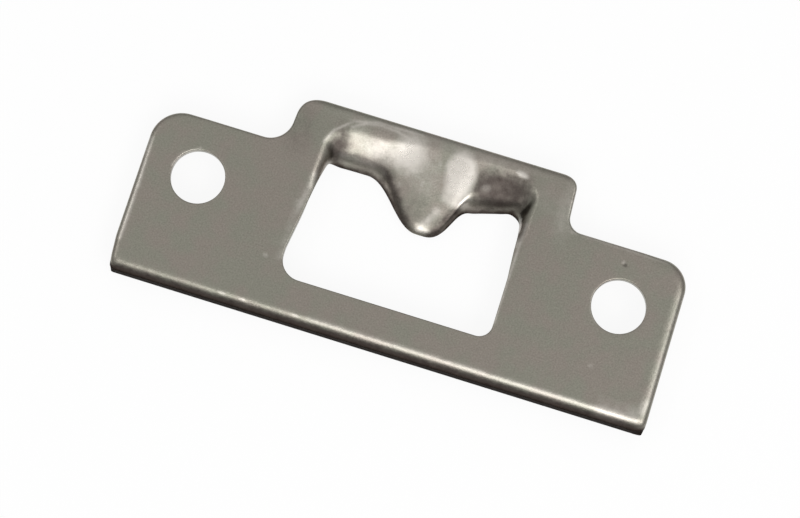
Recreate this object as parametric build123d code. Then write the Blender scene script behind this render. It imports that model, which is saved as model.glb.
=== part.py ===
"""Keeper of a window sash lock, stamped and formed from one sheet.

It lies on its back: X runs along the plate, Y from the folded flange towards the tab, and +Z is the front
face. The origin is the middle of the overall size, on the surface that the keeper lies on.
"""
from build123d import *
from collections import namedtuple
import math
import os

# Sheet
sheet = 0.8
fold_inside_radius = 0.35
front_edge_rounding = 0.08

# Plate, with heights measured from the line through the screw holes
plate_length = 48.35
hole_spacing = 38.1
hole_diameter = 4.76
holes_to_flange_face = 9.8
holes_to_ear_top = 5.15
left_ear_radius = 2.8
right_ear_radius = 2.4

# Flange folded back along the lower edge
flange_depth = 3.0
flange_corner_radius = 0.5

# Tab between the ears, with its top edge rolled back
holes_to_tab_top = 9.9
tab_left = 12.75
tab_right = 12.9
tab_taper = 0.3
tab_left_corner_radius = 2.2
tab_right_corner_radius = 1.5
tab_left_root_radius = 2.1
tab_right_root_radius = 1.3
roll_radius = 1.1
roll_angle = 50.0

# Window
window_left = 9.85
window_right = 9.2
holes_to_window_bottom = 6.1
window_left_radius = 1.9
window_right_radius = 1.2

# Tongue drawn back round the window's upper edge: its root on the plate
crest_land = 0.05
left_root_corner_width = 4.2
left_root_corner_height = 2.7
right_root_corner_width = 3.2
right_root_corner_height = 2.3
side_root_width = 1.15
fade_land = 0.5
fade_sharpness = 3.7
left_fade_y = -3.6
right_fade_y = -0.5

# Tongue: its free edge, two wings with a nose between them
holes_to_left_wing = 5.0
holes_to_right_wing = 5.45
holes_to_nose_tip = 1.2
nose_x = 0.4
nose_left_reach = 5.6
nose_right_reach = 3.5
nose_left_bluntness = 1.0
nose_right_bluntness = 2.0
right_wing_tilt = 17.0
left_side_lean = 1.1
right_side_lean = 0.35
left_wing_corner_radius = 0.45
right_wing_corner_radius = 1.2
lip_corner_width = 3.2
lip_clearance = 0.04

# Tongue: its bends, seen from the side
side_bend_radius = 1.05
left_bend_radius = 3.0
right_bend_radius = 1.05
nose_bend_radius = 2.0
wing_lip_radius = 3.0
nose_lip_radius = 2.0
side_lip_angle = 84.0
wing_lip_angle = 72.0
nose_lip_angle = 50.0

# Sections along the tongue, those over which it grows to its full depth, and points down each one
SIDE_STEPS = 8
CORNER_STEPS = 8
GROWTH_STEPS = 11
TOP_STEPS = 20
DOWN_STEPS = 14
ROOT_CROWDING = 1.5
END_STEP = 0.001
LEVEL = 0.001

front = flange_depth
hole_line_y = (holes_to_flange_face - holes_to_tab_top) / 2
fold_outside_radius = fold_inside_radius + sheet
fold_y = fold_outside_radius - holes_to_flange_face

# The roll's reach beyond its start, to the sheet's sharp edge and to the same edge once it is rounded
roll_turn = math.radians(roll_angle)
sharp_reach = roll_radius * math.sin(roll_turn)
rounding_centre = math.sqrt((roll_radius - front_edge_rounding) ** 2 - front_edge_rounding**2)
rounded_reach = rounding_centre * math.sin(roll_turn) + front_edge_rounding * (1 - math.cos(roll_turn))
roll_y = holes_to_tab_top - rounded_reach
blank_top_y = roll_y + sharp_reach
root_top_y = roll_y - crest_land

# One side of the window with the tongue's corner above it: what it is, and its sizes
Flank = namedtuple(
    "Flank", "sign window_x fade_y wing_y lean wing_corner root_corner_width root_corner_height bend_radius"
)
left_flank = Flank(
    sign=-1,
    window_x=window_left,
    fade_y=left_fade_y,
    wing_y=holes_to_left_wing,
    lean=left_side_lean,
    wing_corner=left_wing_corner_radius,
    root_corner_width=left_root_corner_width,
    root_corner_height=left_root_corner_height,
    bend_radius=left_bend_radius,
)
right_flank = Flank(
    sign=1,
    window_x=window_right,
    fade_y=right_fade_y,
    wing_y=holes_to_right_wing,
    lean=right_side_lean,
    wing_corner=right_wing_corner_radius,
    root_corner_width=right_root_corner_width,
    root_corner_height=right_root_corner_height,
    bend_radius=right_bend_radius,
)


def mix(a, b, share):
    return a + (b - a) * share


def smooth(share):
    return share * share * (3 - 2 * share)


def nose_share(x):
    """1 on the nose's axis, falling to 0 where the nose runs out into a wing."""
    reach = nose_left_reach if x < nose_x else nose_right_reach
    bluntness = nose_left_bluntness if x < nose_x else nose_right_bluntness
    return math.cos(math.pi / 2 * min(abs(x - nose_x) / reach, 1.0) ** bluntness) ** 2


def wing_fall(flank, lip_x):
    """How far the right wing's edge has fallen here, on its way from the window's corner to the nose."""
    if flank is left_flank:
        return 0.0
    corner_x = flank.window_x - flank.lean - flank.wing_corner
    return max(corner_x - lip_x, 0.0) * math.tan(math.radians(right_wing_tilt))


def lip_depth(angle):
    """Depth of the front at a free edge whose back comes down level with the flange."""
    return flange_depth - lip_clearance - sheet * math.cos(math.radians(angle))


def slope_between(reach, fall, radius):
    """Slope of a straight that leaves a bend of this radius, for its end's place from the bend's centre."""
    return math.atan2(fall, reach) + math.asin(min(radius / math.hypot(reach, fall), 1.0))


def section_path(width, depth, bend_radius, lip_radius, lip_angle):
    """Function from a length down the sheet to (distance from the root, depth), and the whole length.

    The sheet bends at the root and slopes straight. Where that slope is less than the lip's angle, it bends
    again, unless the lip radius is 0.
    """
    lip = math.radians(lip_angle)
    slope = slope_between(width, depth - bend_radius, bend_radius)
    lip_turn = 0.0
    if lip_radius > 0 and slope < lip:
        slope = slope_between(
            width - lip_radius * math.sin(lip),
            depth - bend_radius + lip_radius * math.cos(lip),
            bend_radius - lip_radius,
        )
        lip_turn = lip - slope
    bend_end = (bend_radius * math.sin(slope), bend_radius * (1 - math.cos(slope)))
    lip_start = (
        width - lip_radius * (math.sin(slope + lip_turn) - math.sin(slope)),
        depth - lip_radius * (math.cos(slope) - math.cos(slope + lip_turn)),
    )
    straight = math.dist(bend_end, lip_start)
    bend_length = bend_radius * slope

    def point(length):
        if length < bend_length:
            a = length / bend_radius
            return (bend_radius * math.sin(a), bend_radius * (1 - math.cos(a)))
        if length < bend_length + straight or lip_turn == 0:
            run = length - bend_length
            return (bend_end[0] + run * math.cos(slope), bend_end[1] + run * math.sin(slope))
        a = slope + (length - bend_length - straight) / lip_radius
        return (
            lip_start[0] + lip_radius * (math.sin(a) - math.sin(slope)),
            lip_start[1] + lip_radius * (math.cos(slope) - math.cos(a)),
        )

    return point, bend_length + straight + lip_radius * lip_turn


def section(root, lip, growth, bend_radius, lip_radius, lip_angle):
    """Edge down the front of the sheet, from the plate at root to the free edge above lip.

    Growth is the share of the full depth. While it is small, one gentle bend takes the whole width.
    """
    across = Vector(lip[0] - root[0], lip[1] - root[1], 0)
    way = across.normalized()
    start = Vector(root[0], root[1], front)
    shares = [i / DOWN_STEPS for i in range(DOWN_STEPS + 1)]
    if growth == 0:
        points = [start + across * share**ROOT_CROWDING for share in shares]
        return Edge.make_spline(points, tangents=[way, way], parameters=shares)
    depth = lip_depth(lip_angle) * growth
    whole_bend = (across.length**2 + depth**2) / (2 * depth)
    radius = mix(whole_bend, min(bend_radius, whole_bend), growth)
    path, length = section_path(across.length, depth, radius, lip_radius, lip_angle)
    places = [path(length * share**ROOT_CROWDING) for share in shares]
    points = [start + way * x - Vector(0, 0, z) for x, z in places]
    before = path(length * (1 - END_STEP))
    lip_way = points[-1] - (start + way * before[0] - Vector(0, 0, before[1]))
    return Edge.make_spline(points, tangents=[way, lip_way.normalized()], parameters=shares)


def corner_place(share, straight, width, height):
    """Place (inwards, upwards) at a share of the way up a straight run and round a quarter ellipse."""
    quarter = math.pi / 2 * math.sqrt((width**2 + height**2) / 2)
    travel = share * (straight + quarter)
    if travel < straight:
        return (0.0, travel)
    turn = math.pi / 2 * (travel - straight) / quarter
    return (width * (1 - math.cos(turn)), straight + height * math.sin(turn))


def flank_stations(flank):
    """Stations up one side of the window and round its upper corner, from no tongue at all to the wing.

    A station is its section's root, lip, share of the full depth, bend radius, lip radius and lip angle.
    """
    stations = []
    lip_side = flank.window_x - flank.lean
    root_side = lip_side + side_root_width
    turn_y = flank.wing_y - flank.wing_corner
    root_straight = root_top_y - flank.root_corner_height - turn_y
    lip_straight = lip_corner_width - flank.wing_corner
    for i in range(SIDE_STEPS + CORNER_STEPS):
        up = min(i / SIDE_STEPS, 1.0)
        rounding = max(i - SIDE_STEPS, 0) / CORNER_STEPS
        root_in, root_up = corner_place(
            rounding, root_straight, flank.root_corner_width, flank.root_corner_height
        )
        lip_down, lip_out = corner_place(1 - rounding, lip_straight, flank.wing_corner, flank.wing_corner)
        side_y = mix(flank.fade_y, turn_y, up)
        root_x = mix(flank.window_x + fade_land, root_side, up) - root_in
        lip_x = mix(flank.window_x, lip_side, up) - lip_corner_width + lip_out
        lip_y = side_y + flank.wing_corner - lip_down - wing_fall(flank, lip_x)
        ends = ((flank.sign * root_x, side_y + root_up), (flank.sign * lip_x, lip_y))
        angle = mix(side_lip_angle, wing_lip_angle, smooth(rounding))
        growth = smooth(min(i / GROWTH_STEPS, 1.0)) ** fade_sharpness
        bend = mix(side_bend_radius, flank.bend_radius, smooth(rounding))
        lip_radius = wing_lip_radius if i > SIDE_STEPS else 0.0
        stations.append((*ends, growth, bend, lip_radius, angle))
    return stations


def top_stations():
    """Stations below the crest: left wing, nose, right wing."""
    ends = []
    for flank in (left_flank, right_flank):
        lip_side = flank.window_x - flank.lean
        root_x = lip_side + side_root_width - flank.root_corner_width
        ends.append((flank.sign * root_x, flank.sign * (lip_side - lip_corner_width)))
    stations = []
    for i in range(TOP_STEPS + 1):
        root_x, lip_x = (mix(left, right, i / TOP_STEPS) for left, right in zip(*ends))
        nose = nose_share(lip_x)
        flank = left_flank if lip_x < nose_x else right_flank
        lip = (lip_x, mix(flank.wing_y - wing_fall(flank, lip_x), holes_to_nose_tip, nose))
        angle = mix(wing_lip_angle, nose_lip_angle, nose)
        bend = mix(flank.bend_radius, nose_bend_radius, nose)
        lip_radius = mix(wing_lip_radius, nose_lip_radius, nose)
        stations.append(((root_x, root_top_y), lip, 1.0, bend, lip_radius, angle))
    return stations


def tongue_face():
    """Front of the tongue, stretched over a section at each station.

    Each bend radius is square to the root line, so it grows on a section that crosses the line at a slant.
    """
    stations = [*flank_stations(left_flank), *top_stations(), *reversed(flank_stations(right_flank))]
    last = len(stations) - 1
    sections = []
    for i, (root, lip, growth, bend_radius, lip_radius, lip_angle) in enumerate(stations):
        line = Vector(*stations[min(i + 1, last)][0]) - Vector(*stations[max(i - 1, 0)][0])
        across = Vector(*lip) - Vector(*root)
        slant = line.cross(across).length / (line.length * across.length)
        sections.append(section(root, lip, growth, bend_radius / slant**2, lip_radius, lip_angle))
    shares = [i / last for i in range(last + 1)]
    root_line = Edge.make_spline([edge @ 0 for edge in sections], parameters=shares)
    lip_line = Edge.make_spline([edge @ 1 for edge in sections], parameters=shares)
    return Face.make_gordon_surface(sections, [root_line, lip_line])


def on_arc(centre, radius, angle):
    """Point (y, z) on a bend about X, with the angle measured from straight up towards the tab."""
    turn = math.radians(angle)
    return (centre[0] + radius * math.sin(turn), centre[1] + radius * math.cos(turn))


def bend_face(centre, outside_radius, start_angle, end_angle):
    """Section of a bend: the sheet between two concentric arcs."""
    middle = (start_angle + end_angle) / 2
    inside_radius = outside_radius - sheet
    angles = (start_angle, middle, end_angle)
    with BuildSketch(Plane.YZ) as section_sketch:
        with BuildLine():
            outside = ThreePointArc(*[on_arc(centre, outside_radius, angle) for angle in angles])
            inside = ThreePointArc(*[on_arc(centre, inside_radius, angle) for angle in angles])
            Line(outside @ 0, inside @ 0)
            Line(outside @ 1, inside @ 1)
        make_face()
    return section_sketch.sketch


def lower_flange():
    """The flange along the lower edge, with the bend that folds it back."""
    centre = (fold_y, front - fold_outside_radius)
    bend = extrude(bend_face(centre, fold_outside_radius, -90, 0), amount=plate_length / 2, both=True)
    wall = Pos(0, -holes_to_flange_face, 0) * Box(
        plate_length, sheet, centre[1], align=(Align.CENTER, Align.MIN, Align.MIN)
    )
    lower_ends = wall.edges().filter_by(Axis.Y).group_by(Axis.Z)[0]
    flange = (bend + fillet(lower_ends, flange_corner_radius)).solid()
    arcs = flange.edges().filter_by(GeomType.CIRCLE)
    bend_ends = [arc for arc in arcs if arc.length > fold_outside_radius]
    wall_edges = flange.faces().sort_by(Axis.Y)[0].edges().sort_by(Axis.Z)[:-1]
    return fillet([*bend_ends, *wall_edges], front_edge_rounding)


def rolled_crest():
    """The tab's top edge, rolled back."""
    width = tab_left + tab_right
    centre = (roll_y, front - roll_radius)
    roll = extrude(bend_face(centre, roll_radius, 0, roll_angle), amount=width, both=True)
    crest = (roll & extrude(blank_outline(), amount=flange_depth)).solid()
    front_face = crest.faces().filter_by(GeomType.CYLINDER).sort_by(SortBy.AREA)[-1]
    return fillet(front_face.edges().sort_by(Axis.Y)[1:], front_edge_rounding)


def blank_outline():
    """Outline of the ears and the tab, seen from the front."""
    half = plate_length / 2
    corners = [
        (-half, fold_y),
        (-half, holes_to_ear_top),
        (-tab_left, holes_to_ear_top),
        (-tab_left + tab_taper, blank_top_y),
        (tab_right - tab_taper, blank_top_y),
        (tab_right, holes_to_ear_top),
        (half, holes_to_ear_top),
        (half, fold_y),
    ]
    radii = [
        left_ear_radius,
        tab_left_root_radius,
        tab_left_corner_radius,
        tab_right_corner_radius,
        tab_right_root_radius,
        right_ear_radius,
    ]
    with BuildSketch() as outline:
        with BuildLine():
            upper = FilletPolyline(*corners, radius=radii)
            Line(upper @ 1, upper @ 0)
        make_face()
    return outline.sketch


def front_edges(shape):
    """Edges that lie in the plate's front."""
    return [edge for edge in shape.edges() if abs((edge @ 0.5).Z - front) < LEVEL]


def window_outline(tongue):
    """Edge of the flat plate round the window: the tongue's root, and below it the window's own edge."""
    bottom = -holes_to_window_bottom
    lower = FilletPolyline(
        (-window_left, left_fade_y, front),
        (-window_left, bottom, front),
        (window_right, bottom, front),
        (window_right, right_fade_y, front),
        radius=[window_left_radius, window_right_radius],
    )
    return Wire([*front_edges(tongue), *lower.edges()])


def plate_front(tongue):
    """Front face of the flat plate, between the lower fold and the rolled crest."""
    below_roll = Pos(0, roll_y) * Rectangle(plate_length, plate_length, align=(Align.CENTER, Align.MAX))
    flat = Pos(0, 0, front) * (blank_outline() & below_roll)
    holes = [
        Wire.make_circle(hole_diameter / 2, Plane((sign * hole_spacing / 2, 0, front))) for sign in (-1, 1)
    ]
    return Face(flat.face().outer_wire(), [*holes, window_outline(tongue)])


def keeper():
    """The whole keeper: the front is one skin, thickened backwards, with the flange and the crest added.

    The punch leaves the front's edges rounded, round the holes and all along the outline.
    """
    tongue = tongue_face()
    flat = plate_front(tongue)
    backwards = -sheet if flat.normal_at().Z > 0 else sheet
    skin = Solid.thicken(Shell([flat, tongue]), backwards)
    beside_window = (window_left + tab_left) / 2
    rounded = [edge for edge in front_edges(skin) if abs((edge @ 0.5).X) > beside_window]
    whole = skin.fillet(front_edge_rounding, rounded) + lower_flange() + rolled_crest()
    return Pos(0, hole_line_y, 0) * whole


if __name__ == "__main__":
    os.makedirs("parts", exist_ok=True)
    export_step(keeper(), "parts/keeper_plate.step")
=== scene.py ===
"""Window sash lock keeper: one stamped and drawn steel sheet, lying on its back on a pale table."""
import math

import bmesh
import bpy
import numpy as np
from mathutils import Matrix, Vector
from mathutils.geometry import delaunay_2d_cdt


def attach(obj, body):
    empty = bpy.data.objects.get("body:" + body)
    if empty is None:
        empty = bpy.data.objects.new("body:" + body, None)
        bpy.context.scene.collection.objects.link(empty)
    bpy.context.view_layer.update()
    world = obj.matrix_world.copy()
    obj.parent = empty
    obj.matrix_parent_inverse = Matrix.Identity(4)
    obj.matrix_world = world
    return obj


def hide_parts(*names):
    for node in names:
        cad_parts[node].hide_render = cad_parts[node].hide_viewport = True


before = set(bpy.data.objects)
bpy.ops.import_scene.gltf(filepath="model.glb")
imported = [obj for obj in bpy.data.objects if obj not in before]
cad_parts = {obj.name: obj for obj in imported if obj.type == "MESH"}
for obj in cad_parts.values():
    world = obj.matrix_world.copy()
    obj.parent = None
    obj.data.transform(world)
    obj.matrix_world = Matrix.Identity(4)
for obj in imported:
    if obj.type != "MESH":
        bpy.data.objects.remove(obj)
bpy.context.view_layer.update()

# The keeper's plate
# The real piece is one blank of satin stainless sheet, punched with two screw holes and a window.
# Its lower edge is folded back into a flange and the tab's top edge is rolled back. The punch
# rounds its front edges over. Sizes are in mm, and heights up the plate start at the holes' line.
MM = 0.001
sheet = 0.8
front = 3.0
hole_line_y = -0.05
half_length = 48.35 / 2
hole_x = 38.1 / 2
hole_radius = 4.76 / 2
flange_face_y, crest_y = -9.8, 9.9
fold_radius = 1.15
fold_y = fold_radius + flange_face_y
roll_radius = 1.1
roll_angle = math.radians(50.0)
edge_rounding = 0.08
roll_edge = math.sqrt((roll_radius - edge_rounding) ** 2 - edge_rounding**2) * math.sin(roll_angle)
roll_y = crest_y - roll_edge - edge_rounding * (1 - math.cos(roll_angle))
flange_end = fold_y - fold_radius * math.pi / 2 - (front - fold_radius)
tab_top = roll_y + roll_radius * roll_angle
ear_top = 5.15
tab_left, tab_right, tab_taper = 12.75, 12.9, 0.3
burr_radius = 0.05
path_step = 0.16
turn_step = math.radians(5.0)
rounding_steps, burr_steps, back_steps = 6, 3, 6


def on_plate(x, t, h):
    """Points of the sheet at x along it, t up its flattened height and h off its front.

    The front is flat from fold_y to roll_y. Above that it follows a circle of roll_radius, and
    below it one of fold_radius through a right angle, then straight down the flange. h runs along
    the front's own normal.
    """
    up = np.clip(t - roll_y, 0.0, None) / roll_radius
    down = np.clip(fold_y - t, 0.0, fold_radius * math.pi / 2) / fold_radius
    flange = np.clip(fold_y - fold_radius * math.pi / 2 - t, 0.0, None)
    y = np.clip(t, fold_y, roll_y) + roll_radius * np.sin(up) - fold_radius * np.sin(down)
    y += hole_line_y
    z = front - roll_radius * (1 - np.cos(up)) - fold_radius * (1 - np.cos(down)) - flange
    slope = up - down
    return np.stack([x, y + h * np.sin(slope), z + h * np.cos(slope)], axis=-1)


def quarter_turns(steps):
    """Angles in equal steps, from the first step up to a right angle."""
    return np.linspace(0, math.pi / 2, steps + 1)[1:]


def turned(way, angles):
    """A way turned by each of the angles."""
    cos, sin = np.cos(angles), np.sin(angles)
    return np.stack([way[0] * cos - way[1] * sin, way[0] * sin + way[1] * cos], axis=1)


def rounded_path(corners, radii, closed):
    """Points along a path with the sheet on its left, and the way into the sheet at each.

    Every corner is an arc of its radius, tangent to both its runs. A run is divided evenly. An open
    path leaves out its two end corners.
    """
    corners = np.array(corners, float)
    points, ways = [], []
    last = len(corners)
    before = None
    for i in range(last + 1 if closed else last):
        here = corners[i % last]
        start = end = here
        arc = arc_ways = np.empty((0, 2))
        if closed or 0 < i < last - 1:
            radius = radii[i % last]
            run_in = here - corners[(i - 1) % last]
            run_out = corners[(i + 1) % last] - here
            run_in, run_out = run_in / np.linalg.norm(run_in), run_out / np.linalg.norm(run_out)
            cross = run_in[0] * run_out[1] - run_in[1] * run_out[0]
            turn = math.atan2(cross, run_in @ run_out)
            reach = radius * math.tan(abs(turn) / 2)
            start, end = here - run_in * reach, here + run_out * reach
            inward = np.array([-run_in[1], run_in[0]])
            side = inward * math.copysign(1, turn)
            arc_steps = max(int(abs(turn) / turn_step), 3)
            angles = np.linspace(0, turn, arc_steps + 1)
            arc = start + side * radius + turned(-side * radius, angles)
            arc_ways = turned(inward, angles)
        if before is not None:
            run = start - before
            count = max(int(np.linalg.norm(run) / path_step), 1)
            shares = np.arange(1, count) / count
            points.append(before + shares[:, None] * run)
            heading = run / np.linalg.norm(run)
            ways.append(np.tile([-heading[1], heading[0]], (len(shares), 1)))
        if i < last:
            points.append(arc)
            ways.append(arc_ways)
        before = end
    return np.concatenate(points), np.concatenate(ways)


def edge_profile(width, rounding, drop, crown, sag, rows):
    """Distances in from the edge and heights off the front: from width in, over the edge, and back.

    The front sags by sag times the square of the share left to the edge, over the crown's width.
    Its edge then is a quarter ellipse of the rounding's width and the drop's height. The wall
    below ends in a small burr.
    """
    sizes = np.broadcast_arrays(width, rounding, drop, crown, sag)
    width, rounding, drop, crown, sag = (size[..., None] for size in sizes)
    flat_in = width - (width - rounding) * np.linspace(0, 1, rows)
    turn = quarter_turns(rounding_steps)
    front_in = np.concatenate([flat_in, rounding * (1 - np.sin(turn))], axis=-1)
    front_high = -sag * np.clip(1 - front_in / crown, 0, None) ** 2
    front_high[..., rows:] -= drop * (1 - np.cos(turn))
    wall_top, wall_bottom = front_high[..., -1:], burr_radius - sheet
    wall_high = wall_top + (wall_bottom - wall_top) * np.array([0.5, 1.0])
    burr_turn = quarter_turns(burr_steps)
    burr_in = burr_radius * (1 - np.cos(burr_turn)) + 0 * wall_top
    burr_high = -sheet + burr_radius * (1 - np.sin(burr_turn)) + 0 * wall_top
    burr_end = burr_in[..., -1:]
    back_in = burr_end + (width - burr_end) * np.linspace(0, 1, back_steps + 1)[1:]
    ins = np.concatenate([front_in, 0 * wall_high, burr_in, back_in], axis=-1)
    highs = np.concatenate([front_high, wall_high, burr_high, 0 * back_in - sheet], axis=-1)
    return ins, highs


# Small dents of handling: x, height, reach and depth.
dents = np.array([
    (18.5, 3.7, 0.22, 0.03), (18.2, -5.75, 0.2, 0.012), (-11.3, -4.9, 0.2, 0.02),
    (12.5, -6.85, 0.16, 0.012), (-17.65, 3.3, 0.2, 0.012), (-17.4, 3.45, 0.2, 0.012),
])


def dent_depth(spots):
    """Round dents, each falling off as a bell curve of the distance over its reach."""
    away = np.hypot(spots[..., :1] - dents[:, 0], spots[..., 1:] - dents[:, 1])
    return (dents[:, 3] * np.exp(-((away / dents[:, 2]) ** 2))).sum(axis=-1)


# The blank's outline. Its left end leans in below the lean's start, to the fold and the flange.
lean_start_y, lean_fold_y = -7.0, -9.2
lean_at_fold, lean_at_flange = 0.2, 0.15
outline, outline_ways = rounded_path(
    [
        (lean_at_flange - half_length, flange_end), (half_length, flange_end),
        (half_length, ear_top), (tab_right, ear_top),
        (tab_right - tab_taper, tab_top), (-tab_left + tab_taper, tab_top),
        (-tab_left, ear_top), (-half_length, ear_top),
        (-half_length, lean_start_y), (lean_at_fold - half_length, lean_fold_y),
    ],
    [0.32, 0.6, 2.4, 1.3, 1.5, 2.2, 2.1, 2.8, 5.0, 5.0], True,
)

# The rolled edge is least along the flange's lower edge and most at the blank's two ends.
lower_rim, rim_growth = 0.4, 1.2
end_start_x, end_growth = 20.0, 3.0
least_width, width_gain, top_width, most_crown = 0.3, 0.92, 0.8, 1.1
least_rounding, rounding_gain, right_rounding, left_rounding = 0.1, 0.15, 0.2, 0.3
least_drop, drop_gain, left_drop = 0.08, 0.14, 0.08
least_sag, right_sag = 0.02, 0.2
outline_rows = 10
grown = np.clip((outline[:, 1] - (flange_end + lower_rim)) / rim_growth, 0, 1)
right_end = np.clip((outline[:, 0] - end_start_x) / end_growth, 0, 1)
left_end = np.clip((-outline[:, 0] - end_start_x) / end_growth, 0, 1)
outline_width = np.where(outline[:, 1] > roll_y, top_width, least_width + width_gain * grown)
more_rounding = rounding_gain + right_rounding * right_end + left_rounding * left_end
ins, highs = edge_profile(
    outline_width,
    least_rounding + more_rounding * grown,
    least_drop + (drop_gain + left_drop * left_end) * grown,
    np.minimum(outline_width, most_crown),
    right_sag * right_end * grown + least_sag,
    outline_rows,
)
places = outline[:, None] + outline_ways[:, None] * ins[..., None]
front_rows = outline_rows + rounding_steps
highs[:, :front_rows] -= dent_depth(places[:, :front_rows])
outline_ring = on_plate(places[..., 0], places[..., 1], highs)

# The two screw holes, each with a slightly sunk rim.
hole_columns, hole_rows = 120, 5
hole_rim, hole_rounding, hole_sag = 0.45, 0.1, 0.015
hole_turn = np.linspace(0, -2 * math.pi, hole_columns, endpoint=False)
hole_ways = np.stack([np.cos(hole_turn), np.sin(hole_turn)], axis=1)
hole_ins, hole_highs = edge_profile(
    np.full(hole_columns, hole_rim), hole_rounding, hole_rounding, hole_rim, hole_sag, hole_rows
)
hole_centres = [np.array([side * hole_x, 0.0]) for side in (-1, 1)]
hole_rings = []
for centre in hole_centres:
    spot = centre + hole_ways[:, None] * (hole_radius + hole_ins[..., None])
    hole_rings.append(on_plate(spot[..., 0], spot[..., 1], hole_highs))

# The tongue
# The window's upper edge is drawn back into a tongue: two wings with a nose between them. A section
# at each station bends at its root on the plate, slopes straight and bends again into the lip,
# which comes level with the flange. Angles are in degrees here.
left = dict(
    sign=-1, window=9.85, fade_y=-3.6, wing_y=5.0, lean=1.1, corner=0.45, root=(4.2, 2.7), bend=3.0
)
right = dict(
    sign=1, window=9.2, fade_y=-0.5, wing_y=5.45, lean=0.35, corner=1.2, root=(3.2, 2.3), bend=1.05
)
window_bottom = -6.1
right_wing_tilt = 17.0
nose_x, nose_tip_y = 0.4, 1.2
nose_reach, nose_bluntness = (5.6, 3.5), (1.0, 2.0)
root_top_y = roll_y - 0.05
fade_land, fade_sharpness = 0.5, 3.7
side_root_width, lip_corner_width, lip_clearance = 1.15, 3.2, 0.04
side_bend, nose_bend = 1.05, 2.0
wing_lip, nose_lip = 3.0, 2.0
side_angle, wing_angle, nose_angle = 84.0, 72.0, 50.0
side_steps, corner_steps, growth_steps, top_steps = 8, 8, 11, 20


def smooth(share):
    """A share from 0 to 1 made to start and end gently."""
    return share * share * (3 - 2 * share)


def corner_place(share, straight, width, height):
    """Places (in, up) at shares of the way up a straight run and round a quarter ellipse."""
    quarter = math.pi / 2 * math.sqrt((width**2 + height**2) / 2)
    travel = share * (straight + quarter)
    turn = math.pi / 2 * np.clip(travel - straight, 0, None) / quarter
    return width * (1 - np.cos(turn)), np.minimum(travel, straight) + height * np.sin(turn)


def wing_edge(flank, lip_x):
    """Height of a wing's edge. The right one falls evenly from the window's corner to the nose."""
    corner_x = flank["window"] - flank["lean"] - flank["corner"]
    fall = np.clip(corner_x - lip_x, 0, None) * math.tan(math.radians(right_wing_tilt))
    return flank["wing_y"] - fall * (flank["sign"] > 0)


def flank_stations(flank):
    """Root x and y, lip x and y, growth, bend radius, lip radius and lip angle up one flank."""
    i = np.arange(side_steps + corner_steps)
    sign, window_x, corner = flank["sign"], flank["window"], flank["corner"]
    lip_side = window_x - flank["lean"]
    turn_y = flank["wing_y"] - corner
    up = np.minimum(i / side_steps, 1)
    rounding = np.clip(i - side_steps, 0, None) / corner_steps
    root_run_up = root_top_y - flank["root"][1] - turn_y
    root_in, root_up = corner_place(rounding, root_run_up, *flank["root"])
    lip_down, lip_out = corner_place(1 - rounding, lip_corner_width - corner, corner, corner)
    side_y = flank["fade_y"] + (turn_y - flank["fade_y"]) * up
    root_run = lip_side + side_root_width - window_x - fade_land
    root_x = window_x + fade_land + root_run * up - root_in
    lip_x = window_x - flank["lean"] * up - lip_corner_width + lip_out
    lip_y = side_y + corner - lip_down + wing_edge(flank, lip_x) - flank["wing_y"]
    growth = smooth(np.minimum(i / growth_steps, 1)) ** fade_sharpness
    bend = side_bend + (flank["bend"] - side_bend) * smooth(rounding)
    angle = side_angle + (wing_angle - side_angle) * smooth(rounding)
    lip_radius = np.where(i > side_steps, wing_lip, 0.0)
    columns = [
        sign * root_x, side_y + root_up, sign * lip_x, lip_y,
        growth, bend, lip_radius, np.radians(angle),
    ]
    return np.stack(columns, axis=1)


def top_stations():
    """The same rows below the crest. The nose between the two wings is a squared cosine."""
    share = np.arange(top_steps + 1) / top_steps
    lips, roots = [], []
    for flank in (left, right):
        lips.append(flank["sign"] * (flank["window"] - flank["lean"] - lip_corner_width))
        inset = lip_corner_width + side_root_width - flank["root"][0]
        roots.append(lips[-1] + flank["sign"] * inset)
    lip_x = lips[0] + (lips[1] - lips[0]) * share
    root_x = roots[0] + (roots[1] - roots[0]) * share
    on_left = lip_x < nose_x
    reach = np.where(on_left, *nose_reach)
    bluntness = np.where(on_left, *nose_bluntness)
    to_nose = np.minimum(np.abs(lip_x - nose_x) / reach, 1)
    nose = np.cos(math.pi / 2 * to_nose**bluntness) ** 2
    wing_y = np.where(on_left, wing_edge(left, lip_x), wing_edge(right, lip_x))
    wing_bend = np.where(on_left, left["bend"], right["bend"])
    columns = [
        root_x, root_top_y + 0 * share, lip_x, wing_y + (nose_tip_y - wing_y) * nose,
        1 + 0 * share, wing_bend + (nose_bend - wing_bend) * nose,
        wing_lip + (nose_lip - wing_lip) * nose,
        np.radians(wing_angle + (nose_angle - wing_angle) * nose),
    ]
    return np.stack(columns, axis=1)


def slope_between(reach, fall, radius):
    """Angle of the straight that leaves a bend of the radius and arrives at reach and fall."""
    return np.arctan2(fall, reach) + np.arcsin(np.clip(radius / np.hypot(reach, fall), -1, 1))


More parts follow.
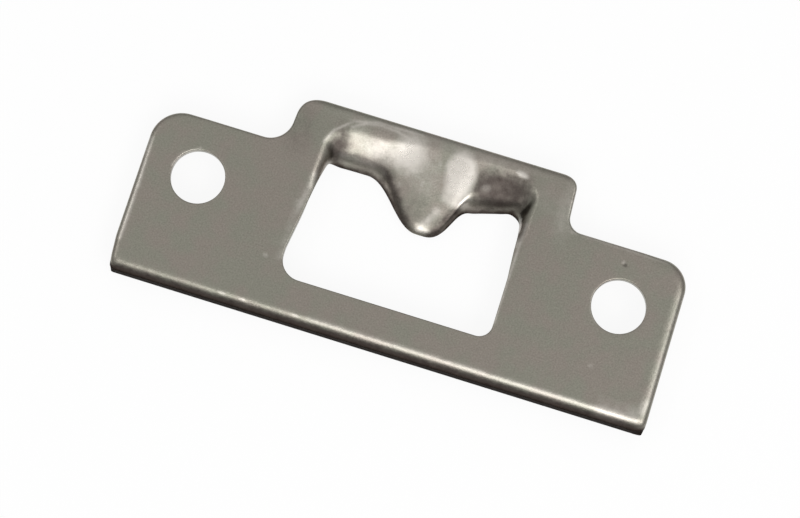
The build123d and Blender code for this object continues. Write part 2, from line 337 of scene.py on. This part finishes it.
def section_points(stations, shares):
    """Front of the sheet down every station's section, at shares of its length, and those lengths.

    While the growth is small one gentle bend takes the whole width. A full section is an arc of the
    bend radius, a straight, and an arc of the lip radius that ends at the lip's angle.
    """
    least_depth, least_curl = 1e-6, 1e-9
    root, lip = stations[:, 0:2], stations[:, 2:4]
    growth, bend, lip_radius, lip_angle = stations[:, 4:].T
    line = np.gradient(root, axis=0)
    across = lip - root
    width = np.linalg.norm(across, axis=1)
    area = np.abs(line[:, 0] * across[:, 1] - line[:, 1] * across[:, 0])
    slant = area / (np.linalg.norm(line, axis=1) * width)
    whole_depth = front - lip_clearance - sheet * np.cos(lip_angle)
    depth = np.maximum(whole_depth * growth, least_depth)
    whole_bend = (width**2 + depth**2) / (2 * depth)
    radius = whole_bend + (np.minimum(bend / slant**2, whole_bend) - whole_bend) * growth
    slope = slope_between(width, depth - radius, radius)
    bent = (lip_radius > 0) & (slope < lip_angle)
    curl = np.where(bent, lip_radius, 0.0)
    curl_reach = width - curl * np.sin(lip_angle)
    curl_fall = depth - radius + curl * np.cos(lip_angle)
    slope = np.where(bent, slope_between(curl_reach, curl_fall, radius - curl), slope)
    end = np.where(bent, lip_angle, slope)
    arc = radius * slope
    bend_x, bend_z = radius * np.sin(slope), radius * (1 - np.cos(slope))
    curl_x = width - curl * (np.sin(end) - np.sin(slope))
    curl_z = depth - curl * (np.cos(slope) - np.cos(end))
    straight = np.hypot(curl_x - bend_x, curl_z - bend_z)
    length = arc + straight + curl * (end - slope)
    run = shares * length[:, None]
    arc, straight, slope, radius, curl = (v[:, None] for v in (arc, straight, slope, radius, curl))
    turn = np.minimum(run, arc) / radius
    on = np.clip(run - arc, 0, straight)
    curled = slope + np.clip(run - arc - straight, 0, None) / np.maximum(curl, least_curl)
    x = radius * np.sin(turn) + on * np.cos(slope) + curl * (np.sin(curled) - np.sin(slope))
    z = radius * (1 - np.cos(turn)) + on * np.sin(slope) + curl * (np.cos(slope) - np.cos(curled))
    flat = root[:, None] + x[..., None] * (across / width[:, None])[:, None]
    return np.concatenate([flat, front - z[..., None]], axis=-1), length


def spline_weights(count, places):
    """Weights that carry values at 0, 1, 2 ... to the places, along a natural cubic spline."""
    one = np.eye(count)
    bends = 4 * one + np.eye(count, k=1) + np.eye(count, k=-1)
    pulls = 6 * (np.eye(count, k=1) - 2 * one + np.eye(count, k=-1))
    bends[[0, -1]], pulls[[0, -1]] = one[[0, -1]], 0
    second = np.linalg.solve(bends, pulls)
    k = np.minimum(places.astype(int), count - 2)
    s = (places - k)[:, None]
    r = 1 - s
    straight = r * one[k] + s * one[k + 1]
    return straight + (r**3 - r) / 6 * second[k] + (s**3 - s) / 6 * second[k + 1]


# Rows of the front lie closer together near the root. The last one is the lip's rounded edge.
tongue_rows, tongue_columns, row_crowding = 38, 400, 1.3
lip_rounding, lip_drop, most_rounded = 0.12, 0.12, 0.3
stations = np.concatenate([flank_stations(left), top_stations(), flank_stations(right)[::-1]])
front_shares = np.linspace(0, 1, tongue_rows) ** row_crowding
_, lengths = section_points(stations, front_shares[None])
rounded_share = np.minimum(lip_rounding / lengths, most_rounded)[:, None]
shares = np.concatenate([front_shares * (1 - rounded_share), 0 * rounded_share + 1], axis=1)
down_points, _ = section_points(stations, shares)
fine = np.linspace(0, len(stations) - 1, tongue_columns)
tongue = np.einsum("fs,srk->frk", spline_weights(len(stations), fine), down_points)
tongue[..., 1] += hole_line_y

# Below the tongue the window's edge is flat, and its ring has the same rows.
lower, lower_ways = rounded_path(
    [
        (right["window"], right["fade_y"]), (right["window"], window_bottom),
        (-left["window"], window_bottom), (-left["window"], left["fade_y"]),
    ],
    [0, 1.2, 1.9, 0], False,
)
lower_in = fade_land * (1 - np.append(front_shares * (1 - lip_rounding / fade_land), 1.0))
lower_places = lower[:, None] + lower_ways[:, None] * lower_in[None, :, None]
lower_x, lower_t = lower_places[..., 0], lower_places[..., 1]
window = np.concatenate([tongue, on_plate(lower_x, lower_t, 0 * lower_x)])


def window_tube(window):
    """The sheet round the window: its front, the rounded lip, its wall, and its back up again.

    Heights off the front run along its normal, the cross product of the surface's steps along and
    down.
    """
    lip_steps, wall_middle = 5, 0.45
    along = np.roll(window, -1, axis=0) - np.roll(window, 1, axis=0)
    down = np.gradient(window, axis=1)
    normal = np.cross(down, along)
    normal /= np.linalg.norm(normal, axis=-1, keepdims=True)
    normal[:, 0] = (0, 0, 1)
    lip, before, out = window[:, -1:], window[:, -2:-1], normal[:, -1:]
    turn = quarter_turns(lip_steps)[:, None]
    rounded = before + (lip - before) * np.sin(turn) - out * lip_drop * (1 - np.cos(turn))
    wall = lip - out * np.array([wall_middle, sheet - burr_radius])[:, None]
    burr_turn = quarter_turns(burr_steps)[:, None]
    step = (before - lip) / np.linalg.norm(before - lip, axis=-1, keepdims=True)
    burr_down = sheet - burr_radius * (1 - np.sin(burr_turn))
    burr = lip + step * burr_radius * (1 - np.cos(burr_turn)) - out * burr_down
    back = (window - normal * sheet)[:, -2::-1]
    return np.concatenate([window[:, :-1], rounded, wall, burr, back], axis=1)


window_ring = window_tube(window)

# The flat between the rings, front and back, then all of it as one closed mesh. Spots lie close
# together where the sheet bends or is dented. Each kind has its reach along and up the sheet.
wide_along, wide_up, wide_step = (-24, 24.1), (-8.4, 8.6), 0.75
fold_along, fold_step = (-23.6, 23.7), 0.3
fold_up, fold_rows = (flange_end + 0.6, fold_y + 0.12), 32
crest_along, crest_step = (-12.2, 12.3), 0.16
crest_up, crest_rows = (roll_y - 0.02, tab_top - 0.85), 3
dent_half, dent_rows = 0.45, 11
rim_clearance = 0.09
merge_distance = 2e-4


def spot_grid(along, up):
    """Every pair of a place along and a place up, as rows."""
    return np.stack(np.meshgrid(along, up), axis=-1).reshape(-1, 2)


def sheet_fill(loops, spots):
    """Triangles over the flattened sheet between loops of (x, t), with loose spots inside."""
    tiny, same_place = 1e-12, 1e-7
    edges, start = [], 0
    for loop in loops:
        i = np.arange(len(loop))
        edges.append(np.stack([i, (i + 1) % len(loop)], axis=1) + start)
        start += len(loop)
    edges = np.concatenate(edges)
    rim = np.concatenate(loops)
    a, b = rim[edges[:, 0]], rim[edges[:, 1]]

    def inside(p):
        """Whether a line from each place to the right crosses the loops an odd number of times."""
        x, y = p[:, :1], p[:, 1:]
        crosses = (a[:, 1] > y) != (b[:, 1] > y)
        at = (b[:, 0] - a[:, 0]) * (y - a[:, 1]) / (b[:, 1] - a[:, 1] + tiny) + a[:, 0]
        return (crosses & (x < at)).sum(axis=1) % 2 == 1

    spots = spots[inside(spots)]
    to_rim = np.hypot(spots[:, :1] - rim[:, 0], spots[:, 1:] - rim[:, 1]).min(axis=1)
    everything = np.concatenate([rim, spots[to_rim > rim_clearance]])
    points, _, faces, *_ = delaunay_2d_cdt(
        [Vector(p) for p in everything.tolist()], edges.tolist(), [], 0, same_place, False
    )
    points = np.array([tuple(p) for p in points])
    faces = np.array(faces)
    return points, faces[inside(points[faces].mean(axis=1))]


def ring_faces(ring, start):
    """Four corners of each cell between a closed ring's neighbouring columns and rows."""
    columns, rows = ring.shape[:2]
    here = np.arange(columns)[:, None] * rows + np.arange(rows - 1)
    after = np.roll(here, -1, axis=0)
    return np.stack([here, after, after + 1, here + 1], axis=-1).reshape(-1, 4) + start


wide_spots = spot_grid(np.arange(*wide_along, wide_step), np.arange(*wide_up, wide_step))
to_dents = np.hypot(*(wide_spots[:, None] - dents[:, :2]).T).min(axis=0)
dent_span = np.linspace(-dent_half, dent_half, dent_rows)
spots = [
    wide_spots[to_dents > wide_step],
    spot_grid(np.arange(*fold_along, fold_step), np.linspace(*fold_up, fold_rows)),
    spot_grid(np.arange(*crest_along, crest_step), np.linspace(*crest_up, crest_rows)),
    # The last dent lies within the grid of the one before it.
    (dents[:-1, None, :2] + spot_grid(dent_span, dent_span)).reshape(-1, 2),
]
loops = [places[:, 0], window[:, 0, :2] - (0, hole_line_y)]
loops += [centre + hole_ways * (hole_radius + hole_rim) for centre in hole_centres]
fill, fill_faces = sheet_fill(loops, np.concatenate(spots))

corners, faces, start = [], [], 0
for ring in (outline_ring, window_ring, *hole_rings):
    corners.append(ring.reshape(-1, 3))
    faces += ring_faces(ring, start).tolist()
    start += len(corners[-1])
for heights in (-dent_depth(fill), np.full(len(fill), -sheet)):
    corners.append(on_plate(fill[:, 0], fill[:, 1], heights))
    faces += (fill_faces + start).tolist()
    start += len(fill)
keeper_mesh = bpy.data.meshes.new("keeper_sheet")
keeper_mesh.from_pydata(np.concatenate(corners) * MM, [], faces)
shell = bmesh.new()
shell.from_mesh(keeper_mesh)
bmesh.ops.remove_doubles(shell, verts=shell.verts, dist=merge_distance * MM)
bmesh.ops.recalc_face_normals(shell, faces=shell.faces)
shell.to_mesh(keeper_mesh)
shell.free()
keeper_mesh.polygons.foreach_set("use_smooth", np.ones(len(keeper_mesh.polygons), bool))
keeper = bpy.data.objects.new("keeper_sheet", keeper_mesh)
bpy.context.scene.collection.objects.link(keeper)

# Painted shade and highlights on the steel
# Painted shade darkens the steel to brown where it would reflect the dark table or lie in shade:
# on the tongue's wings, lips and nose flanks, in a dent, on the tab and on the flange's outside.
# Painted highlights brighten the tongue, the edges, the fold and small specks where light would
# catch them. Each mark is a strength with a soft patch or stroke, in mm on the keeper's front, and
# the marks are kept as values on the mesh's points.
point_values = np.empty(len(keeper_mesh.vertices) * 3)
keeper_mesh.vertices.foreach_get("co", point_values)
at_x, at_y, at_z = point_values.reshape(-1, 3).T / MM


def patch(centre, radii, turn=0.0, soft=0.5):
    """1 inside an ellipse turned by degrees, falling to 0 over the soft share of its radii."""
    a = math.radians(turn)
    dx, dy = at_x - centre[0], at_y - centre[1]
    along = dx * math.cos(a) + dy * math.sin(a)
    over = dy * math.cos(a) - dx * math.sin(a)
    reach = np.hypot(along / radii[0], over / radii[1])
    return 1 - smooth(np.clip((reach - 1 + soft) / (2 * soft), 0, 1))


def stroke(path, width):
    """Bell curve of the distance from a path of straight runs, of the given half width."""
    nearest = np.full(len(at_x), np.inf)
    for start, end in zip(path[:-1], path[1:]):
        run = np.subtract(end, start)
        dx, dy = at_x - start[0], at_y - start[1]
        share = np.clip((dx * run[0] + dy * run[1]) / (run @ run), 0, 1)
        nearest = np.minimum(nearest, np.hypot(dx - share * run[0], dy - share * run[1]))
    return np.exp(-((nearest / width) ** 2))


def below(values, top, fade):
    """0 above the top value, growing smoothly to 1 over the fade below it."""
    return smooth(np.clip((top - values) / fade, 0, 1))


def blend(marks):
    """Strength of all the marks together: what is left after each takes its share."""
    left_over = np.ones(len(at_x))
    for strength, mark in marks:
        left_over *= 1 - strength * mark
    return 1 - left_over


tongue_half_width, tongue_low_y, tongue_high_y = 9.1, 0.8, 8.0
on_tongue = (np.abs(at_x) < tongue_half_width) & (at_y < tongue_high_y) & (at_y > tongue_low_y)
nose_tip = patch((0.7, 1.4), (1.0, 1.0), 0, 0.4)
# Painted shade: dark brown where the steel would reflect the dark table or lie in shade.
painted_shade = blend([
    # Painted shade on the left wing, the lips, the nose's flanks and the right wing.
    (0.85, patch((-8.15, 6.3), (0.8, 1.5), 0, 0.6)),
    (0.45, stroke([(-8.3, 5.9), (-5.8, 6.0), (-3.8, 5.6), (-2.9, 4.6)], 0.35)),
    (0.9, below(at_z, 1.25, 0.7) * on_tongue * (1 - nose_tip)),
    (0.6, patch((-3.6, 5.3), (0.9, 0.6), -25, 0.6)),
    (0.76, stroke([(-2.5, 4.1), (-1.75, 3.0), (-1.05, 1.85)], 0.55)),
    (0.93, patch((6.25, 6.7), (2.65, 1.65), 8, 0.42)),
    (0.5, patch((8.3, 6.3), (0.7, 2.0), 0, 0.6)),
    (0.9, stroke([(3.4, 4.3), (2.7, 3.2), (2.0, 2.1), (1.5, 1.4)], 0.45)),
    # Painted shade on a grey face of the nose, on the tab, in the deepest dent and on the flange's
    # outside.
    (0.18, patch((0.1, 2.9), (1.2, 1.3), 0, 0.25)),
    (0.15, patch((-11.8, 6.6), (1.2, 2.0), 0, 0.6)),
    (0.5, patch((18.55, 3.55), (0.2, 0.16), 0, 0.6)),
    (0.96, below(at_y, -9.2, 0.45)),
])
# Painted highlights: lighter steel where light would catch the surface.
painted_highlight = blend([
    # Painted highlights: the left wing's band, with its bright upper rim.
    (0.12, patch((-6.75, 7.75), (0.75, 0.85), 20, 0.5)),
    (0.45, patch((-4.2, 7.0), (1.9, 0.9), -3, 0.5)),
    (0.22, stroke([(-7.8, 5.6), (-5.2, 5.7), (-4.0, 5.3)], 0.3)),
    (0.95, patch((-2.0, 7.5), (1.25, 1.45), 8, 0.6)),
    (0.5, stroke([(-7.6, 8.2), (-6.5, 8.85), (-5.2, 9.05), (-3.6, 8.95), (-2.2, 8.6)], 0.13)),
    # Painted highlights on the block right of the nose, the nose itself and the right wing's
    # corner.
    (0.97, patch((2.65, 7.1), (1.3, 1.9), 6, 0.3)),
    (0.6, patch((2.8, 5.2), (1.2, 0.9), 10, 0.35)),
    (0.14, patch((-0.3, 6.3), (1.3, 1.8), 0, 0.4)),
    (0.6, stroke([(1.6, 3.5), (1.0, 2.4), (0.55, 1.8)], 0.3)),
    (0.5, patch((0.85, 1.62), (0.55, 0.22), 10, 0.6)),
    (0.9, patch((7.8, 8.6), (0.5, 0.22), -12, 0.7)),
    # Painted highlights along the root's line over the left wing, and on the tab.
    (0.45, stroke([(-9.6, 6.2), (-9.0, 7.5), (-7.6, 8.7), (-5.4, 9.25), (-1.5, 9.3)], 0.12)),
    (0.2, patch((12.4, 6.6), (0.9, 2.2), 0, 0.7)),
    (0.07, patch((10.4, 7.2), (0.8, 1.0), 0, 0.6)),
    (0.14, patch((0.0, 9.1), (8.0, 0.5), 0, 0.7)),
    # Painted highlights on the edges: left end, fold, lower right corner, right end, right ear.
    (0.6, stroke([(-23.95, 2.0), (-23.75, -2.0), (-23.75, -7.2)], 0.17)),
    (0.27, stroke([(-6.0, -9.05), (23.2, -9.05)], 0.22)),
    (0.42, stroke([(23.65, -7.6), (23.4, -8.2), (22.9, -8.65), (22.0, -8.85), (20.0, -9.0)], 0.4)),
    (0.18, stroke([(23.95, 2.5), (23.9, -2.0), (23.8, -7.2)], 0.25)),
    (0.25, stroke([(13.3, 5.0), (22.2, 4.85)], 0.12)),
    # Painted highlights on the window's two sides and the holes' rims.
    (0.4, stroke([(9.4, 4.5), (9.32, 1.0), (9.25, -4.6)], 0.12)),
    (0.5, stroke([(9.0, 4.4), (9.05, 2.4)], 0.2)),
    (0.35, stroke([(-9.4, 3.2), (-9.75, 0.2)], 0.3)),
    (0.2, stroke([(-9.9, 0.5), (-10.0, -4.6)], 0.35)),
    (0.3, stroke([(-21.5, 0.3), (-20.95, 1.6), (-19.6, 2.42)], 0.12)),
    (0.3, stroke([(16.65, 0.6), (16.8, -1.0), (17.55, -2.0)], 0.12)),
    # Painted glints: specks on the tongue and the plate, and three nicks on the fold.
    (0.3, patch((-2.2, 4.8), (0.2, 0.15), 20, 0.6)),
    (0.1, patch((5.1, 6.6), (0.4, 0.3), 20, 0.7)),
    (0.15, patch((4.1, 5.1), (0.25, 0.3), 0, 0.7)),
    (0.3, patch((0.65, 7.4), (0.15, 0.15), 0, 0.6)),
    (0.25, patch((-0.3, 5.5), (0.15, 0.2), 0, 0.6)),
    (0.4, patch((-11.3, -4.9), (0.22, 0.16), 0, 0.6)),
    (0.13, patch((18.2, -5.75), (0.25, 0.2), 0, 0.6)),
    (0.25, patch((18.35, 3.75), (0.14, 0.14), 0, 0.6)),
    (0.5, patch((-13.8, -9.15), (0.22, 0.12), 0, 0.6)),
    (0.5, patch((-12.0, -9.15), (0.22, 0.12), 0, 0.6)),
    (0.5, patch((-7.25, -9.12), (0.22, 0.12), 0, 0.6)),
])
# The painted shade, less where highlights are painted over it, and the painted highlights.
for name, values in (("painted_shade", painted_shade * (1 - painted_highlight)), ("painted_highlight", painted_highlight)):
    keeper_mesh.attributes.new(name, "FLOAT", "POINT").data.foreach_set("value", values)

# Satin steel
# Cold rolled stainless sheet with a fine tumbled grain: faint warm and cool clouds and a speckle of
# about 0.1 mm. The painted shade and painted highlights are mixed in through blots, so that they
# break up at their edges.
cool_steel, warm_steel = (0.296, 0.289, 0.241), (0.315, 0.283, 0.246)
# Dark brown for the painted shade, light steel for the painted highlights.
painted_shade_brown, painted_highlight_steel = (0.063, 0.051, 0.046), (0.695, 0.655, 0.6)
cloud_strength, speckle_strength, painted_highlight_calm = 1.1, 0.16, 0.8
painted_shade_break, painted_highlight_break = 1.1, 0.7
plain_rough, blots_rough, painted_highlight_rough, painted_shade_rough = 0.33, 0.025, -0.06, 0.1
grain_strength, grain_height = 0.5, 0.009
steel_grazing, painted_shade_grazing = (0.9, 0.9, 0.9), (0.15, 0.15, 0.15)
steel = bpy.data.materials.new("keeper_steel")
steel.use_nodes = True
nodes, links = steel.node_tree.nodes, steel.node_tree.links
shader = nodes["Principled BSDF"]


def node(kind, **values):
    """A new shader node, with its properties set."""
    made = nodes.new("ShaderNode" + kind)
    for key, value in values.items():
        setattr(made, key, value)
    return made


def maths(operation, a, b=0.0, clamp=False):
    """A Math node of two values, each a number or a socket."""
    made = node("Math", operation=operation, use_clamp=clamp)
    for socket, value in zip(made.inputs, (a, b)):
        if isinstance(value, (int, float)):
            socket.default_value = value
        else:
            links.new(value, socket)
    return made.outputs[0]


def noise(per_mm, detail, offset):
    """Fine noise about 0, from about -1 to 1, with so many cells to the millimetre."""
    shifted = node("Mapping")
    shifted.inputs["Location"].default_value = (offset, 2 * offset, 3 * offset)
    shifted.inputs["Scale"].default_value = (1 / MM, 1 / MM, 1 / MM)
    links.new(coordinates, shifted.inputs["Vector"])
    made = node("TexNoise")
    made.inputs["Scale"].default_value = per_mm
    made.inputs["Detail"].default_value = detail
    links.new(shifted.outputs[0], made.inputs["Vector"])
    return maths("MULTIPLY", maths("SUBTRACT", made.outputs["Fac"], 0.5), 4.0)


def mixed(share, a, b):
    """Colour mixed by a share, each colour a tuple or a socket."""
    made = node("Mix", data_type="RGBA")
    links.new(share, made.inputs["Factor"])
    for socket, value in zip(made.inputs[6:8], (a, b)):
        if isinstance(value, tuple):
            socket.default_value = (*value, 1)
        else:
            links.new(value, socket)
    return made.outputs[2]


def broken(name, depth):
    """A mark's share plus depth * blots * share * (1 - share), so only its edges break up."""
    share = node("Attribute", attribute_name=name).outputs["Fac"]
    edge = maths("MULTIPLY", share, maths("SUBTRACT", 1.0, share))
    return maths("ADD", share, maths("MULTIPLY", blots, maths("MULTIPLY", edge, depth)), clamp=True)


coordinates = node("TexCoord").outputs["Object"]
clouds = noise(0.45, 5, 3.0)
blots = noise(1.6, 4, 7.0)
speckle = noise(7.0, 3, 11.0)
painted_shade_share = broken("painted_shade", painted_shade_break)
painted_highlight_share = broken("painted_highlight", painted_highlight_break)

warm = maths("ADD", maths("MULTIPLY", clouds, cloud_strength), 0.5, clamp=True)
# Painted shade mixes in the dark brown, and painted highlights mix in the light steel.
colour = mixed(painted_shade_share, mixed(warm, cool_steel, warm_steel), painted_shade_brown)
colour = mixed(painted_highlight_share, colour, painted_highlight_steel)
# Where highlights are painted, the speckle and the grain are calmed.
plain = maths("SUBTRACT", 1.0, maths("MULTIPLY", painted_highlight_share, painted_highlight_calm))
specks = maths("MULTIPLY", maths("MULTIPLY", speckle, speckle_strength), plain)
tone = node("VectorMath", operation="SCALE")
links.new(colour, tone.inputs[0])
links.new(maths("ADD", specks, 1.0), tone.inputs["Scale"])
links.new(tone.outputs[0], shader.inputs["Base Color"])

rough = maths("ADD", plain_rough, maths("MULTIPLY", blots, blots_rough))
rough = maths("ADD", rough, maths("MULTIPLY", painted_highlight_share, painted_highlight_rough))
rough = maths("ADD", rough, maths("MULTIPLY", painted_shade_share, painted_shade_rough), clamp=True)
links.new(rough, shader.inputs["Roughness"])

grain = node("Bump")
grain.inputs["Strength"].default_value = grain_strength
grain.inputs["Distance"].default_value = grain_height * MM
relief = maths("ADD", maths("MULTIPLY", speckle, 0.5), blots)
links.new(maths("MULTIPLY", relief, plain), grain.inputs["Height"])
links.new(grain.outputs[0], shader.inputs["Normal"])

# At grazing angles clean steel turns nearly white. Where shade is painted, the grazing tint stays
# dull so that those places stay dark.
shader.inputs["Metallic"].default_value = 1.0
links.new(mixed(painted_shade_share, steel_grazing, painted_shade_grazing), shader.inputs["Specular Tint"])
keeper_mesh.materials.append(steel)

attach(keeper, "root")
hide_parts("keeper_plate")

# The table
# Plain pale paper under the keeper. To the camera, and in reflections, it is mostly as bright as
# white, and the rest takes the keeper's shadow.
table_half, table_drop = 3.0, 0.00002
paper_grey, paper_roughness, white_share = 0.93, 0.9, 0.9
table_mesh = bpy.data.meshes.new("table")
table_corners = np.array([(-1, -1, 0), (1, -1, 0), (1, 1, 0), (-1, 1, 0)]) * table_half
table_mesh.from_pydata(table_corners, [], [(0, 1, 2, 3)])
table = bpy.data.objects.new("table", table_mesh)
table.location.z = -table_drop
bpy.context.scene.collection.objects.link(table)
paper = bpy.data.materials.new("table_paper")
paper.use_nodes = True
paper_nodes, paper_links = paper.node_tree.nodes, paper.node_tree.links
paper_shader = paper_nodes["Principled BSDF"]
paper_shader.inputs["Base Color"].default_value = (paper_grey, paper_grey, paper_grey, 1)
paper_shader.inputs["Roughness"].default_value = paper_roughness
white = paper_nodes.new("ShaderNodeEmission")
ray = paper_nodes.new("ShaderNodeLightPath")
bounced = paper_nodes.new("ShaderNodeMath")
seen = paper_nodes.new("ShaderNodeMath")
bounced.operation = seen.operation = "MAXIMUM"
mostly = paper_nodes.new("ShaderNodeMath")
mostly.operation = "MULTIPLY"
mostly.inputs[1].default_value = white_share
both = paper_nodes.new("ShaderNodeMixShader")
for output, socket in (
    (ray.outputs["Is Glossy Ray"], bounced.inputs[0]),
    (ray.outputs["Is Transmission Ray"], bounced.inputs[1]),
    (ray.outputs["Is Camera Ray"], seen.inputs[0]),
    (bounced.outputs[0], seen.inputs[1]),
    (seen.outputs[0], mostly.inputs[0]),
    (mostly.outputs[0], both.inputs[0]),
    (paper_shader.outputs[0], both.inputs[1]),
    (white.outputs[0], both.inputs[2]),
    (both.outputs[0], paper_nodes["Material Output"].inputs["Surface"]),
):
    paper_links.new(output, socket)
table_mesh.materials.append(paper)

# The camera
# It looks down on the plate's front, tilted, swung and rolled as the photo's outline, holes and
# window need. The focal length is in pixels of the 800 x 518 frame.
tilt, yaw, roll = math.radians(10.23), math.radians(3.03), math.radians(17.70)
focal_pixels, frame_pixels, sensor_width = 2320.8, 800, 36.0
camera_place = Vector((10.28, -37.26, 199.55)) * MM
camera_data = bpy.data.cameras.new("camera")
camera_data.sensor_width = sensor_width
camera_data.lens = focal_pixels / frame_pixels * sensor_width
camera_data.clip_start, camera_data.clip_end = 0.01, 10.0
camera = bpy.data.objects.new("camera", camera_data)
bpy.context.scene.collection.objects.link(camera)
bpy.context.scene.camera = camera
to_camera = Vector(
    (math.sin(yaw) * math.cos(tilt), -math.sin(tilt), math.cos(yaw) * math.cos(tilt))
)
level = Vector((0, 1, 0)).cross(to_camera).normalized()
upright = to_camera.cross(level)
frame_right = math.cos(roll) * level + math.sin(roll) * upright
frame_up = -math.sin(roll) * level + math.cos(roll) * upright
facing = Matrix((frame_right, frame_up, to_camera)).transposed().to_4x4()
camera.matrix_world = Matrix.Translation(camera_place) @ facing


# The light
# Three soft boxes and a plain sky that is darker near the table. The front box lights the plate,
# and the other two give the bright lines on its rounded ends.
def softbox(name, azimuth, elevation, width, height, brightness):
    """Area lamp that faces the keeper, whose face is as bright as stated, where 1 is white."""
    distance = 0.6
    lamp_data = bpy.data.lights.new(name, "AREA")
    lamp_data.shape = "RECTANGLE"
    lamp_data.size, lamp_data.size_y = width, height
    lamp_data.energy = brightness * math.pi * width * height
    lamp = bpy.data.objects.new(name, lamp_data)
    bpy.context.scene.collection.objects.link(lamp)
    a, e = math.radians(azimuth), math.radians(elevation)
    way = Vector((math.sin(a) * math.cos(e), -math.cos(a) * math.cos(e), math.sin(e)))
    lamp.location = way * distance
    lamp.rotation_mode = "QUATERNION"
    lamp.rotation_quaternion = way.to_track_quat("Z", "Y")


softbox("front_softbox", 25, 50, 0.55, 0.3, 2.8)
softbox("right_softbox", 85, 55, 0.4, 0.2, 2.0)
softbox("left_strip", -85, 55, 0.3, 0.08, 2.2)

world = bpy.data.worlds.new("studio")
bpy.context.scene.world = world
world.use_nodes = True
world_nodes, world_links = world.node_tree.nodes, world.node_tree.links
direction = world_nodes.new("ShaderNodeTexCoord")
axes = world_nodes.new("ShaderNodeSeparateXYZ")
sky = world_nodes.new("ShaderNodeValToRGB")
for element, (height, grey) in zip(sky.color_ramp.elements, ((0.05, 0.24), (0.8, 0.7))):
    element.position = height
    element.color = (grey, grey, grey, 1)
world_links.new(direction.outputs["Generated"], axes.inputs[0])
world_links.new(axes.outputs["Z"], sky.inputs[0])
world_links.new(sky.outputs[0], world_nodes["Background"].inputs["Color"])
bpy.context.scene.view_settings.view_transform = "Standard"
